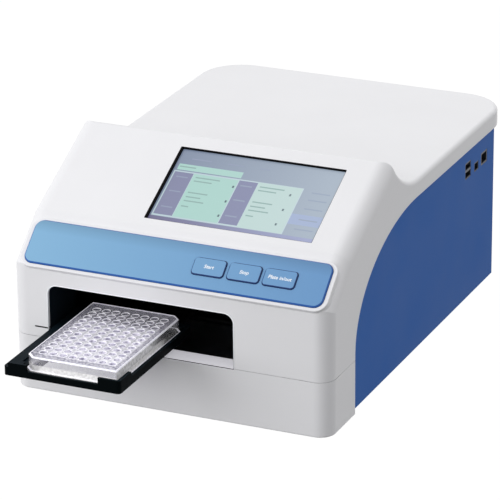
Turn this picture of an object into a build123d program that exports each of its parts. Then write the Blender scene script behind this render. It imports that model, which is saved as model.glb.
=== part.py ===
from build123d import *
import os
from math import atan2, cos, degrees, pi, radians, sin, sqrt, tan

# Microplate reader, in millimetres. While the pieces are made, X runs across the machine from its
# middle, Y runs back from the lower front face and Z runs up from the underside of the casing.
# save() moves every piece so that the origin is the middle of the footprint, at the feet.

# Gaps that many pieces share, and how far a cut reaches past the face that it goes through
skin_gap = 0.2
shaft_gap = 0.05
over = 1.0

# Casing
body_width = 290.8
front_middle = 2.0
wall = 3.0
casing_gap = 0.5
lid_top = 162.0
lid_band = 15.7
lid_rear = 427.0
lid_corner_radius = 40.0
lid_edge_radius = 4.0
rear_face = 388.0
seam_height = 49.8
seam_gap = 0.4
front_corner_radius = 14.0
base_edge_radius = 1.5
strip_foot = 114.2
strip_angle = 41.0
strip_run = 39.8
panel_angle = 26.4
swell_radius = 79.0
swell_end = 203.0
lid_join_gap = 12.0
foot_bend = 5.0
crease_bend = 12.0
crest_bend = 3.5
least_radius = 0.5
wing_depth = 55.5
wing_sweep_start = 55.0
wing_sweep_end = 195.0
rib_width = 3.0

# Blue sheet panels
sheet = 1.5
panel_inset = 0.8
side_flange = 8.0
flange_setback = 5.0

# Loading opening, its parting slot, sill and hood
opening_top = 97.9
opening_radius = 8.5
opening_left_gap = 0.9
opening_right_gap = 0.5
parting_slot_length = 12.8
parting_slot_height = 1.0
parting_slot_level = 58.7
sill_front = 0.4
sill_depth = 18.0
sill_sheet = 1.2
sill_lip = 6.0
sill_gap = 0.3
hood_depth = 49.0
hood_sheet = 1.6
hood_side_gap = 0.8
hood_top_gap = 1.5

# Blue strip and its three keys
strip_margin = 9.4
strip_low = 0.9
strip_high = 42.0
strip_radius = 8.0
strip_proud = 1.5
strip_bevel = 1.0
plinth_rim_side = 4.0
plinth_rim_low = 3.1
plinth_rim_high = 2.6
plinth_height = 1.26
plinth_bevel = 0.8
pocket_depth = 2.0
key_width = 29.0
key_height = 16.2
key_radius = 3.2
key_middle = 21.2
key_first = 30.2
key_pitch = 31.8
key_names = ("start_key", "stop_key", "plate_key")
key_gap = 0.35
key_proud = 1.3
key_bevel = 0.7
key_travel = 0.8
key_float = 0.2
key_stem_radius = 3.0
key_stem_gap = 0.3
key_stem_length = 5.2
key_board_depth = 9.0
key_board_margin = 10.0
key_board_height = 26.0
key_switch_size = 6.0
key_switch_gap = 0.1
key_switch_radius = 0.5
board_thickness = 1.6
board_radius = 1.0
boss_radius = 2.5
boss_margin = 6.0
boss_spread = 16.0
boss_root = 0.5

# Display
screen_left = -44.5
screen_right = 108.0
screen_low = 7.5
screen_high = 93.0
screen_radius = 0.8
screen_recess = 1.9
glass_margin = 4.0
glass_thickness = 1.7
glass_gap = 0.15
display_margin = 2.0
display_gap = 0.1
display_depth = 6.0
display_radius = 1.5
driver_margin = 9.0

# Base, its vents and feet
base_level = 5.0
base_sheet = 2.0
base_flange = 13.0
ledge_width = 6.0
base_vent_rows = 10
base_vent_columns = 2
base_vent_length = 34.0
base_vent_width = 4.0
base_vent_pitch = 9.0
base_vent_gap = 10.0
base_vent_left = 40.0
base_vent_front = 120.0
foot_height = 5.0
foot_radius = 9.0
foot_taper = 1.0
foot_side_gap = 35.4
foot_front = 38.0
foot_rear = 362.0

# Microplate with 96 wells on a 9 mm grid
plate_length = 127.76
plate_width = 85.48
plate_height = 14.35
plate_flange_height = 2.4
plate_flange_step = 1.3
plate_notch = 6.0
well_pitch = 9.0
well_rows = 8
well_columns = 12
well_radius = 3.43
well_depth = 10.9
plate_wall = 1.2
plate_web_bottom = 2.2

# Tray that carries the microplate
tray_front = -90.0
tray_overhang = 9.3
tray_bottom = 52.8
tray_floor = 4.0
tray_rim = 7.5
tray_front_rim = 5.8
tray_block_height = 11.5
tray_front_wall = 2.4
tray_right_wall = 3.0
tray_left_wall = 17.32
tray_rear_wall = 9.24
tray_corner_radius = 3.5
tray_ledge = 5.0
tray_block_length = 22.0
tray_block_depth = 7.0
tray_block_edge = 4.5
tray_block_left = 4.0
tray_block_right = 17.0
plate_gap = 0.3
spring_bay_depth = 1.2
spring_bay_rear = 8.0
spring_width = 5.0
spring_length = 40.0
spring_sheet = 0.5
spring_lip = 2.0
spring_bay_edge = 10.0
spring_bay_wall = 1.5
spring_bay_front = 9.0
rivet_radius = 2.2
rivet_height = 0.9
rivet_spread = 28.0

# Cross stage under the tray: it moves the tray along X so that each row of wells can be read
stage_right_travel = 60.0
frame_thickness = 5.0
frame_side_gap = 10.4
frame_right_gap = 6.9
frame_front = 56.0
frame_back_gap = 12.0
frame_top = 92.0
frame_window_low = 60.0
frame_window_edge = 20.0
frame_window_top = 12.0
frame_end_gap = 0.5
rod_level = 17.0
rod_radius = 4.0
rod_front = 72.0
rod_back = 250.0
screw_radius = 3.0
screw_line = 161.0
carriage_width = 64.0
carriage_end_gap = 14.0
carriage_front = 20.0
carriage_bottom = 23.0
carriage_sheet = 4.0
carriage_end = 5.0
carriage_window_left = 38.0
carriage_window_right = 8.0
carriage_windows = ((90.0, 145.0), (178.0, 232.0))
bushing_length = 20.0
bushing_half = 6.0
nut_width = 16.0
rail_place = 12.0
rail_width = 9.0
rail_top = 40.0
rail_neck = 6.0
rail_groove_low = 6.0
rail_groove_high = 3.0
slider_half = 10.0
slider_length = 28.0
slider_front = 22.0
slider_gap = 0.1
slider_lift = 2.0
belt_place = 24.0
belt_width = 6.0
belt_level = 35.0
belt_thickness = 1.2
belt_gap = 0.4
clamp_sheet = 2.4
clamp_length = 18.0
belt_seat = 0.1
pulley_radius = 5.0
pulley_flange = 1.1
pulley_flange_width = 0.8
pulley_side = 1.0
idler_line = 30.0
drive_gap = 14.0
bracket_sheet = 3.0
bracket_gap = 4.0
stub_gap = 0.3
shaft_radius = 2.0
small_motor = 20.0
small_motor_length = 28.0
motor_edge = 2.0
coupling_radius = 6.0
coupling_length = 9.0
coupling_bore = 5.0
coupling_gap = 1.0

# Optics over the read point
read_y = 150.0
bridge_sheet = 4.0
bridge_front = 96.0
bridge_back = 290.0
bridge_windows = ((-115.0, -55.0), (28.0, 54.0))
bridge_window_y = (200.0, 270.0)
read_hole_radius = 5.0
read_tube_radius = 8.0
read_tube_height = 12.0
read_tube_drop = 8.0
read_bore_radius = 3.0
lens_fit = 0.05
read_lens_height = 2.0
read_lens_crown = 0.8
wheel_radius = 38.0
wheel_thickness = 4.0
wheel_hub_radius = 7.0
wheel_hub_proud = 2.0
wheel_shaft_radius = 2.5
wheel_pitch_radius = 27.0
wheel_clearance = 3.0
filter_count = 8
filter_radius = 7.0
filter_fit = 0.1
filter_lip = 1.5
filter_seat = 1.0
wheel_motor_size = 28.0
wheel_motor_offset = 4.0
wheel_motor_radius = 3.0
lamp_width = 44.0
lamp_height = 34.0
lamp_overhang = 14.0
lamp_inset = 6.0
lamp_gap = 2.0
lamp_fin = 3.0
lamp_fin_depth = 5.0
lamp_foot = 8.0
lamp_bore_radius = 9.0
lamp_roof = 3.0
bulb_radius = 4.5
bulb_length = 9.0
bulb_base_radius = 7.0
bulb_base_height = 7.0
condenser_seat = 1.0
condenser_height = 2.0
condenser_crown = 1.5
arm_bottom = 45.0
arm_height = 6.0
arm_width = 16.0
arm_tip = 6.5
diode_radius = 4.0
diode_seat = 2.0
diode_recess = 0.4

# Main board and the connectors on it, each with its middle along Y, width and height
board_front = 214.0
board_back = 378.0
board_low = 60.0
board_high = 140.0
board_standoff = 11.5
standoff_radius = 2.2
standoff_inset = 4.0
board_chips = ((240.0, 100.0, 22.0), (270.0, 80.0, 14.0), (285.0, 118.0, 16.0), (236.0, 128.0, 10.0))
chip_height = 3.0
capacitor_count = 4
capacitor_radius = 4.0
capacitor_height = 12.0
capacitor_first = 305.0
capacitor_pitch = 12.0
capacitor_level = 72.0
port_level = 119.8
ports = {
    "usb_stack": (321.8, 14.4, 15.6),
    "device_port": (343.0, 10.8, 8.6),
    "network_jack": (362.7, 16.2, 12.2),
}
port_reach = 0.2
flat_mouth_width = 12.4
flat_mouth_height = 5.2
flat_mouth_low = 1.4
flat_mouth_pitch = 7.6
device_rim = 1.1
network_rim = 1.8
device_mouth_depth = 9.0
mouth_depth = 11.0

# Power supply, inlet and switch
power_supply_width = 50.0
power_supply_length = 104.0
power_supply_height = 36.0
power_supply_side_gap = 17.4
power_supply_gap = 4.0
power_supply_edge = 1.0
cover_slots = 8
cover_slot_first = 14.0
cover_slot_pitch = 10.0
cover_slot_width = 3.0
cover_slot_depth = 2.0
cover_slot_margin = 8.0
inlet_x = 104.0
inlet_z = 42.0
inlet_width = 27.2
inlet_height = 20.0
inlet_depth = 22.0
inlet_flange = 4.0
inlet_proud = 2.5
inlet_wall = 1.6
inlet_mouth_depth = 15.0
blade_places = ((-7.0, -2.0), (0.0, 2.5), (7.0, -2.0))
blade_width = 2.0
blade_height = 4.0
blade_recess = 4.0
switch_x = 62.0
switch_width = 13.0
switch_height = 19.4
switch_depth = 16.0
switch_flange = 2.0
switch_wall = 1.5
switch_well = 9.0
rocker_gap = 0.3
rocker_inset = 2.0
rocker_pin_radius = 1.0
rocker_low_face = 2.2
rocker_middle_face = 3.0
rocker_high_face = 5.2
rocker_back = 3.4

# Rear panel vents and fan
vent_count = 9
vent_pitch = 9.0
vent_width = 4.0
vent_height = 40.0
vent_first = 42.0
vent_level = 109.0
fan_x = -70.0
fan_z = 84.0
fan_size = 60.0
fan_depth = 15.0
fan_wall = 2.0
fan_corner_radius = 3.0
fan_arm = 2.4
fan_arm_depth = 2.0
fan_blades = 7
fan_blade_pitch = 38.0
fan_blade_sheet = 1.2
fan_blade_chord = 13.0
fan_hub_radius = 13.0
fan_hub_step = 2.0
fan_pin_radius = 2.0
fan_end_gap = 0.6
fan_tip_gap = 0.8
fan_screw_radius = 1.8
fan_screw_inset = 5.0
grille_slots = 7
grille_slot = 4.2
grille_margin = 4.0
grille_edge = 3.0

# Screws under the base
screw_head_radius = 3.0
screw_head_height = 1.8
screw_inset = 15.0

# Places that follow from the sizes above
half = body_width / 2
lid_bottom = lid_top - lid_band
lid_join = swell_end + lid_join_gap
base_top = base_level + base_sheet
strip_half = half - strip_margin
stage_left_travel = (well_rows - 1) * well_pitch - stage_right_travel
frame_left_face = -half + wall + frame_side_gap + frame_thickness
carriage_left = frame_left_face + carriage_end_gap + stage_left_travel
carriage_right = carriage_left + carriage_width
rail_middle = carriage_left + rail_place
belt_left = carriage_left + belt_place
bracket_left = belt_left + belt_width + bracket_gap
tray_left = rail_middle - tray_overhang
plate_middle = (
    tray_left + tray_left_wall + plate_gap + plate_width / 2,
    tray_front + tray_front_wall + plate_gap + plate_length / 2,
)
plate_bottom = tray_bottom + tray_floor
tray_right = plate_middle[0] + plate_width / 2 + plate_gap + tray_right_wall
tray_rear = plate_middle[1] + plate_length / 2 + plate_gap + tray_rear_wall
tray_travel = read_y - plate_middle[1] + (well_columns - 1) * well_pitch / 2
opening_left = tray_left - stage_left_travel - opening_left_gap
opening_right = tray_right + stage_right_travel + opening_right_gap
frame_right_face = tray_right + stage_right_travel + frame_right_gap
carriage_back = slider_front + slider_length + tray_travel + carriage_end
carriage_top = carriage_bottom + carriage_sheet
drive_line = carriage_back + drive_gap
frame_back = drive_line + frame_back_gap
bridge_top = frame_top + bridge_sheet
read_x = plate_middle[0] - (well_rows - 1) * well_pitch / 2 + stage_right_travel
wheel_x = read_x + wheel_pitch_radius
wheel_low = bridge_top + read_tube_height + wheel_clearance
wheel_top = wheel_low + wheel_thickness
lamp_low = wheel_top + wheel_clearance + lamp_gap
lamp_roof_level = lamp_low + lamp_height - lamp_fin_depth - lamp_roof
board_face = half - panel_inset - sheet - board_standoff
rocker_y = rear_face - rocker_inset
strip_slope = radians(strip_angle)
panel_slope = radians(panel_angle)
crease = (strip_run, strip_foot + strip_run * tan(strip_slope))
middle_y = (tray_front + lid_rear) / 2
strip_plane = Plane(
    origin=(front_middle, 0, strip_foot), x_dir=(1, 0, 0), z_dir=(0, -sin(strip_slope), cos(strip_slope))
)
panel_plane = Plane(
    origin=(front_middle, *crease), x_dir=(1, 0, 0), z_dir=(0, -sin(panel_slope), cos(panel_slope))
)


def save(name, *solids):
    """Write one node, moved to the part's own origin."""
    moved = [Pos(0, -middle_y, foot_height) * solid for solid in solids]
    export_step(moved[0] if len(moved) == 1 else Compound(children=moved), f"parts/{name}.step")


def span(middle, size):
    """A low and high value about a middle."""
    return (middle - size / 2, middle + size / 2)


def wider(pair, margin=over):
    """A low and high value, each moved outwards."""
    return (pair[0] - margin, pair[1] + margin)


def block(x, y, z):
    """A box between pairs of low and high values."""
    middle = Pos(sum(x) / 2, sum(y) / 2, sum(z) / 2)
    return middle * Box(x[1] - x[0], y[1] - y[0], z[1] - z[0])


def rod_x(radius, x, y, z):
    """A round bar along X, between a low and high value."""
    return Pos(sum(x) / 2, y, z) * Rot(0, 90, 0) * Cylinder(radius, x[1] - x[0])


def rod_y(radius, y, x, z):
    """A round bar along Y, between a low and high value."""
    return Pos(x, sum(y) / 2, z) * Rot(90, 0, 0) * Cylinder(radius, y[1] - y[0])


def rod_z(radius, z, x, y):
    """A round bar along Z, between a low and high value."""
    return Pos(x, y, sum(z) / 2) * Cylinder(radius, z[1] - z[0])


def pad(plane, x, s, n, radius):
    """A rounded rectangle on a sloping plane, from depth n[0] to depth n[1]."""
    outline = Pos(sum(x) / 2, sum(s) / 2) * RectangleRounded(x[1] - x[0], s[1] - s[0], radius)
    return extrude(plane * Pos(0, 0, n[0]) * outline, n[1] - n[0])


def face_above(solid, plane, x, s):
    """The face of a solid that lies nearest below a point over a sloping plane."""
    point = plane.from_local_coords(Vector(x, s, 4 * wall))
    return solid.faces().sort_by_distance(point)[0]


def meet(p, slope_p, q, slope_q):
    """The point where two lines of the side view cross."""
    run = ((q[0] - p[0]) * sin(slope_q) - (q[1] - p[1]) * cos(slope_q)) / sin(slope_q - slope_p)
    return (p[0] + run * cos(slope_p), p[1] + run * sin(slope_p))


def inner_radius(radius, inset):
    """The radius of a rounding on a surface that lies further in."""
    return max(radius - inset, least_radius)


def soften(face, point, radius):
    """Round the corner of a flat outline that lies nearest to a point."""
    corner = face.vertices().sort_by_distance(Vertex(*point, 0))[0]
    return fillet(corner, radius)


def side_outline(inset):
    """The casing seen from the side: front, strip, screen panel, crest and the fall to the lid."""
    strip_line = (inset * sin(strip_slope), strip_foot - inset * cos(strip_slope))
    panel_line = (crease[0] + inset * sin(panel_slope), crease[1] - inset * cos(panel_slope))
    foot = meet((inset, 0), pi / 2, strip_line, strip_slope)
    bend = meet(strip_line, strip_slope, panel_line, panel_slope)
    centre = (swell_end, lid_top + swell_radius)
    radius = swell_radius + inset
    along = (centre[0] - bend[0]) * cos(panel_slope) + (centre[1] - bend[1]) * sin(panel_slope)
    reach = (centre[0] - bend[0]) ** 2 + (centre[1] - bend[1]) ** 2
    run = along - sqrt(along**2 - reach + radius**2)
    crest = (bend[0] + run * cos(panel_slope), bend[1] + run * sin(panel_slope))
    turn = degrees(atan2(crest[1] - centre[1], crest[0] - centre[0])) + 90
    face = make_face(
        [
            Polyline((lid_join, 0), (inset, 0), foot, bend, crest),
            CenterArc(centre, radius, -90, turn),
            Polyline((swell_end, lid_top - inset), (lid_join, lid_top - inset), (lid_join, 0)),
        ]
    )
    face = soften(face, foot, inner_radius(foot_bend, inset))
    face = soften(face, bend, inner_radius(crease_bend, inset))
    return soften(face, crest, inner_radius(crest_bend, inset))


def corner_prism(plane, inset):
    """A long block under a sloping plane, with its two upper edges rounded."""
    reach = 2 * lid_rear
    depth = 2 * lid_top
    width = body_width - 2 * inset
    prism = plane * Pos(-front_middle, 0, -depth / 2 - inset) * Box(width, reach, depth)
    top = face_above(prism, plane, 0, 0)
    rims = [edge for edge in top.edges() if abs(edge.center().X) > width / 4]
    return fillet(rims, inner_radius(front_corner_radius, inset))


def plan_outline(front, rear, inset, front_radius, rear_radius):
    """The casing seen from above, between two depths."""
    width = body_width - 2 * inset
    face = Pos(0, (front + rear) / 2) * Rectangle(width, rear - front)
    if front_radius > 0:
        face = fillet(face.vertices().sort_by(Axis.Y)[:2], front_radius)
    if rear_radius > 0:
        face = fillet(face.vertices().sort_by(Axis.Y)[-2:], rear_radius)
    return face


def is_cut_edge(edge):
    """True for the edges where the raised front is cut off flat, below and behind."""
    near = 0.01
    low = edge.bounding_box().min
    high = edge.bounding_box().max
    return high.Z < near or low.Y > lid_join - near


def front_form(inset):
    """The raised front of the casing as a solid, up to where the flat lid begins."""
    width = half - inset
    form = extrude(Plane.YZ * side_outline(inset), width, both=True)
    if inset == 0:
        ends = form.faces().filter_by(Axis.X)
        rims = [edge for edge in ends.edges() if not is_cut_edge(edge)]
        form = fillet(rims, lid_edge_radius)
    corner = inner_radius(front_corner_radius, inset)
    plan = plan_outline(inset, lid_join + over, inset, corner, 0)
    form = form & Pos(0, 0, -over) * extrude(plan, 2 * lid_top)
    return form & corner_prism(strip_plane, inset) & corner_prism(panel_plane, inset)


def lid_form(inset, bottom):
    """The flat lid as a solid."""
    corner = inner_radius(lid_corner_radius, inset)
    plan = plan_outline(lid_join, lid_rear - inset, inset, 0, corner)
    form = Pos(0, 0, bottom) * extrude(plan, lid_top - inset - bottom)
    if inset == 0:
        top = form.faces().sort_by(Axis.Z)[-1]
        rims = top.edges().sort_by(Axis.Y)[1:]
        form = fillet(rims, lid_edge_radius)
    return form


def side_region(gap):
    """The blue area of a side: behind the white wing, under its swept edge and the lid."""
    front = wing_depth + gap
    top = lid_bottom - gap
    sweep = EllipticalCenterArc(
        (wing_sweep_end, wing_sweep_start),
        wing_sweep_end - front,
        top - wing_sweep_start,
        start_angle=90,
        arc_size=90,
    )
    rest = Polyline(
        (front, wing_sweep_start),
        (front, base_level),
        (rear_face, base_level),
        (rear_face, top),
        (wing_sweep_end, top),
    )
    return Plane.YZ * make_face([sweep, rest])


def key_x(number):
    """The middle of a key across the strip."""
    return key_first + number * key_pitch


def keys_reach(margin):
    """The X range of all keys, with a margin."""
    reach = margin + key_width / 2
    return (key_x(0) - reach, key_x(len(key_names) - 1) + reach)


def opening_prism():
    """The loading opening, cut through the front wall."""
    face = Rectangle(opening_right - opening_left, opening_top - base_top)
    face = fillet(face.vertices().sort_by(Axis.Y)[-2:], opening_radius)
    middle = Pos((opening_left + opening_right) / 2, 0, (opening_top + base_top) / 2)
    return extrude(middle * (Plane.XZ * face), 4 * wall, both=True)


def plinth():
    """Raised bed of the strip, rounded all round."""
    bed = pad(
        strip_plane,
        (-strip_half - plinth_rim_side, strip_half + plinth_rim_side),
        (strip_low - plinth_rim_low, strip_high + plinth_rim_high),
        (-front_corner_radius, plinth_height),
        strip_radius + plinth_rim_low,
    )
    return fillet(face_above(bed, strip_plane, 0, key_middle).edges(), plinth_bevel)


def upper_shell():
    """White moulding: raised front, side wings and lid."""
    across = (-half - over, half + over)
    cavity = lid_form(wall, lid_bottom - over)
    cavity -= block(across, (rear_face - rib_width, rear_face), (0, lid_top))
    shell = front_form(0) + lid_form(0, lid_bottom) + plinth()
    shell = shell - front_form(wall) - cavity
    shell -= extrude(side_region(0), half + over, both=True)
    shell -= block(across, (-lid_rear, lid_rear + over), (-over, seam_height))
    shell -= block(across, (rear_face - over, lid_rear + over), (-over, lid_bottom))
    shell -= opening_prism()
    shell -= block(
        (opening_left - parting_slot_length, opening_left + over),
        (-over, wall + over),
        span(parting_slot_level, parting_slot_height),
    )
    shell -= pad(
        strip_plane,
        (-strip_half - key_gap, strip_half + key_gap),
        (strip_low - key_gap, strip_high + key_gap),
        (plinth_height - pocket_depth, 4 * wall),
        strip_radius + key_gap,
    )
    for number in range(len(key_names)):
        stem = strip_plane * Pos(key_x(number), key_middle, 0)
        shell -= stem * Cylinder(key_stem_radius + key_stem_gap, 8 * wall)
    shell -= pad(
        panel_plane,
        (screen_left, screen_right),
        (screen_low, screen_high),
        (-2 * wall, 2 * wall),
        screen_radius,
    )
    shell -= pad(
        panel_plane,
        wider((screen_left, screen_right), glass_margin + glass_gap),
        wider((screen_low, screen_high), glass_margin + glass_gap),
        (-2 * wall, -screen_recess),
        screen_radius + glass_gap,
    )
    for boss_x in keys_reach(boss_margin):
        for boss_s in span(key_middle, boss_spread):
            length = key_board_depth - wall + boss_root
            boss = strip_plane * Pos(boss_x, boss_s, -key_board_depth + length / 2)
            shell += boss * Cylinder(boss_radius, length)
    return shell


def lower_shell():
    """White moulding round the foot of the front, with a ledge for the base."""
    plan = plan_outline(0, wing_depth, 0, front_corner_radius, 0)
    shell = extrude(plan, seam_height - seam_gap)
    bottom = shell.faces().sort_by(Axis.Z)[0]
    shell = fillet(bottom.edges().sort_by(Axis.Y)[:-1], base_edge_radius)
    corner = inner_radius(front_corner_radius, wall)
    inner = plan_outline(wall, wing_depth + over, wall, corner, 0)
    ledge = plan_outline(wall + ledge_width, wing_depth + over, wall + ledge_width, corner, 0)
    shell -= Pos(0, 0, base_level) * extrude(inner, seam_height)
    shell -= Pos(0, 0, -over) * extrude(ledge, seam_height)
    sill = block(
        (opening_left, opening_right), (-over, wall + over), (seam_height - sill_sheet, seam_height)
    )
    return shell - sill


def side_panel(side):
    """Blue sheet on one side, with a flange folded in under the lid."""
    outer = half - panel_inset
    face = side_region(casing_gap)
    panel = Pos(side * (outer - sheet / 2), 0, 0) * extrude(face, sheet / 2, both=True)
    flange_x = sorted((side * (outer - sheet), side * (outer - sheet - side_flange)))
    top = lid_bottom - casing_gap
    return panel + block(flange_x, (wing_sweep_end + flange_setback, rear_face - sheet), (top - sheet, top))


def port_cut(name):
    """The Y and Z ranges of a connector's cut-out in the side panel."""
    middle, width, height = ports[name]
    return span(middle, width), (port_level, port_level + height)


def right_panel():
    """The right side panel with its connector cut-outs."""
    panel = side_panel(1)
    for name in ports:
        panel -= block((board_face, half + over), *port_cut(name))
    return panel


def rear_panel():
    """Blue sheet across the back, with the fan grille, power inlet, switch and vents cut out."""
    side = half - panel_inset - sheet
    through = (rear_face - 2 * sheet, rear_face + over)
    panel = block((-side, side), (rear_face - sheet, rear_face), (base_level, lid_bottom - casing_gap))
    slot_pitch = (fan_size - 2 * grille_margin) / grille_slots
    for number in range(grille_slots):
        rise = (number - (grille_slots - 1) / 2) * slot_pitch
        reach = sqrt((fan_size / 2 - grille_edge) ** 2 - rise**2)
        middle = Pos(fan_x, rear_face - sheet / 2, fan_z + rise)
        slot = middle * (Plane.XZ * SlotOverall(2 * reach, grille_slot))
        panel -= extrude(slot, 2 * sheet, both=True)
    panel -= block(span(inlet_x, inlet_width), through, span(inlet_z, inlet_height))
    panel -= block(span(switch_x, switch_width), through, span(inlet_z, switch_height))
    for number in range(vent_count):
        x = vent_first + number * vent_pitch
        panel -= block(span(x, vent_width), through, span(vent_level, vent_height))
    return panel


def base_plate():
    """Folded steel base that everything inside stands on."""
    front = plan_outline(wall, wing_depth, wall, inner_radius(front_corner_radius, wall), 0)
    plate = Pos(0, 0, base_level) * extrude(front, base_sheet)
    outer = half - panel_inset - sheet
    plate += block((-outer, outer), (wing_depth, rear_face - sheet), (base_level, base_top))
    for side in (-1, 1):
        x = sorted((side * outer, side * (outer - sheet)))
        y = (wing_depth + base_sheet, rear_face - sheet - over)
        plate += block(x, y, (base_level, base_level + base_flange))
    for row in range(base_vent_rows):
        for column in range(base_vent_columns):
            x = base_vent_left + column * (base_vent_length + base_vent_gap)
            y = base_vent_front + row * base_vent_pitch
            plate -= block(
                (x, x + base_vent_length), (y, y + base_vent_width), wider((base_level, base_top))
            )
    return plate


def rubber_feet():
    """Four round feet, tapered towards the floor."""
    height = base_level + foot_height
    feet = []
    for x in (foot_side_gap - half, half - foot_side_gap):
        for y in (foot_front, foot_rear):
            foot = Cone(foot_radius, foot_radius + foot_taper, height)
            feet.append(Pos(x, y, base_level - height / 2) * foot)
    return feet


def sill_plate():
    """Brushed metal sill along the foot of the opening, with a lip turned down behind."""
    x = (opening_left + sill_gap, opening_right - sill_gap)
    plate = block(x, (sill_front, sill_depth), (seam_height - sill_sheet, seam_height))
    return plate + block(x, (sill_depth - sill_sheet, sill_depth), (seam_height - sill_lip, seam_height))


def chamber_hood():
    """Black sheet hood round the way in, behind the opening."""
    inside = wider((opening_left, opening_right), hood_side_gap)
    top = opening_top + hood_top_gap
    y = (wall + skin_gap, wall + skin_gap + hood_depth)
    hood = block(wider(inside, hood_sheet), y, (seam_height, top + hood_sheet))
    return hood - block(inside, wider(y), (0, top))


def touch_glass():
    """Touch panel under the edge of the screen aperture."""
    return pad(
        panel_plane,
        wider((screen_left, screen_right), glass_margin),
        wider((screen_low, screen_high), glass_margin),
        (-screen_recess - glass_thickness, -screen_recess),
        screen_radius,
    )


def display_module():
    """Liquid crystal display behind the touch panel, with its driver board on its back."""
    top = -screen_recess - glass_thickness - display_gap
    back = top - display_depth
    module = pad(
        panel_plane,
        wider((screen_left, screen_right), glass_margin - display_margin),
        wider((screen_low, screen_high), glass_margin - display_margin),
        (back, top),
        display_radius,
    )
    driver = pad(
        panel_plane,
        wider((screen_left, screen_right), -driver_margin),
        wider((screen_low, screen_high), -driver_margin),
        (back - board_thickness, back),
        board_radius,
    )
    return module + driver


def strip_pad():
    """Blue strip with windows for the keys."""
    strip = pad(
        strip_plane,
        (-strip_half, strip_half),
        (strip_low, strip_high),
        (plinth_height - pocket_depth, plinth_height + strip_proud),
        strip_radius,
    )
    strip = chamfer(face_above(strip, strip_plane, 0, key_middle).edges(), strip_bevel)
    for number in range(len(key_names)):
        strip -= pad(
            strip_plane,
            span(key_x(number), key_width + 2 * key_gap),
            span(key_middle, key_height + 2 * key_gap),
            (-4 * wall, 4 * wall),
            key_radius + key_gap,
        )
    return strip


def key_bottom():
    """How high the underside of a key cap lies over the strip's plane."""
    return plinth_height - pocket_depth + key_travel + key_float


def key_cap(number):
    """One key with the stem that reaches its switch."""
    top = plinth_height + strip_proud + key_proud
    x = span(key_x(number), key_width)
    cap = pad(strip_plane, x, span(key_middle, key_height), (key_bottom(), top), key_radius)
    cap = chamfer(face_above(cap, strip_plane, key_x(number), key_middle).edges(), key_bevel)
    stem = strip_plane * Pos(key_x(number), key_middle, key_bottom() - key_stem_length / 2)
    return cap + stem * Cylinder(key_stem_radius, key_stem_length)


def key_board():
    """Circuit board with one switch under each key."""
    depth = (-key_board_depth - board_thickness, -key_board_depth)
    x = keys_reach(key_board_margin)
    board = pad(strip_plane, x, span(key_middle, key_board_height), depth, board_radius)
    high = key_bottom() - key_stem_length - key_travel - key_switch_gap
    for number in range(len(key_names)):
        board += pad(
            strip_plane,
            span(key_x(number), key_switch_size),
            span(key_middle, key_switch_size),
            (-key_board_depth, high),
            key_switch_radius,
        )
    return board


def main_board():
    """Upright circuit board on the right, behind the connectors."""
    x = (board_face - board_thickness, board_face)
    board = block(x, (board_front, board_back), (board_low, board_high))
    for y, z, size in board_chips:
        board += block((x[0] - chip_height, x[0]), span(y, size), span(z, size))
    for number in range(capacitor_count):
        y = capacitor_first + number * capacitor_pitch
        board += rod_x(capacitor_radius, (x[0] - capacitor_height, x[0]), y, capacitor_level)
    return board


def board_standoffs():
    """Four posts that hold the main board off the side panel."""
    posts = []
    for y in wider((board_front, board_back), -standoff_inset):
        for z in wider((board_low, board_high), -standoff_inset):
            posts.append(rod_x(standoff_radius, (board_face, board_face + board_standoff), y, z))
    return posts


def socket(name):
    """A connector shell on the main board, as wide as its cut-out leaves room for."""
    y, z = port_cut(name)
    front = half - panel_inset - port_reach
    return block((board_face, front), wider(y, -skin_gap), wider(z, -skin_gap))


def mouth(depth, y, z):
    """The space in a connector shell, open towards +X."""
    return block((half - panel_inset - port_reach - depth, half + over), y, z)


def usb_stack():
    """Two flat sockets, one over the other."""
    shell = socket("usb_stack")
    y = span(ports["usb_stack"][0], flat_mouth_width)
    for number in range(2):
        low = port_level + flat_mouth_low + number * flat_mouth_pitch
        shell -= mouth(mouth_depth, y, (low, low + flat_mouth_height))
    return shell


def device_port():
    """Small square socket."""
    y, z = port_cut("device_port")
    return socket("device_port") - mouth(device_mouth_depth, wider(y, -device_rim), wider(z, -device_rim))


def network_jack():
    """Wider socket at the rear."""
    y, z = port_cut("network_jack")
    return socket("network_jack") - mouth(mouth_depth, wider(y, -network_rim), wider(z, -network_rim))


def power_supply():
    """Closed metal power supply on the base, with a slotted cover."""
    right = half - power_supply_side_gap
    front = frame_back + power_supply_gap
    x = (right - power_supply_length, right)
    y = (front, front + power_supply_width)
    top = base_top + power_supply_height
    case = block(x, y, (base_top, top))
    case = chamfer(case.edges().filter_by(Axis.X), power_supply_edge)
    for number in range(cover_slots):
        low = x[0] + cover_slot_first + number * cover_slot_pitch
        case -= block(
            (low, low + cover_slot_width), wider(y, -cover_slot_margin), (top - cover_slot_depth, top + over)
        )
    return case


def power_inlet():
    """Mains inlet with three blades in its socket."""
    outside = rear_face + inlet_proud
    floor = rear_face - inlet_mouth_depth
    width = inlet_width - 2 * skin_gap
    height = inlet_height - 2 * skin_gap
    inlet = block(span(inlet_x, width), (rear_face - inlet_depth, outside), span(inlet_z, height))
    inlet += block(
        span(inlet_x, inlet_width + 2 * inlet_flange),
        (rear_face, outside),
        span(inlet_z, inlet_height + inlet_flange),
    )
    inlet -= block(
        span(inlet_x, inlet_width - 2 * inlet_wall),
        (floor, outside + over),
        span(inlet_z, inlet_height - 2 * inlet_wall),
    )
    for x, z in blade_places:
        blade_x = span(inlet_x + x, blade_width)
        inlet += block(blade_x, (floor, outside - blade_recess), span(inlet_z + z, blade_height))
    return inlet


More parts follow.
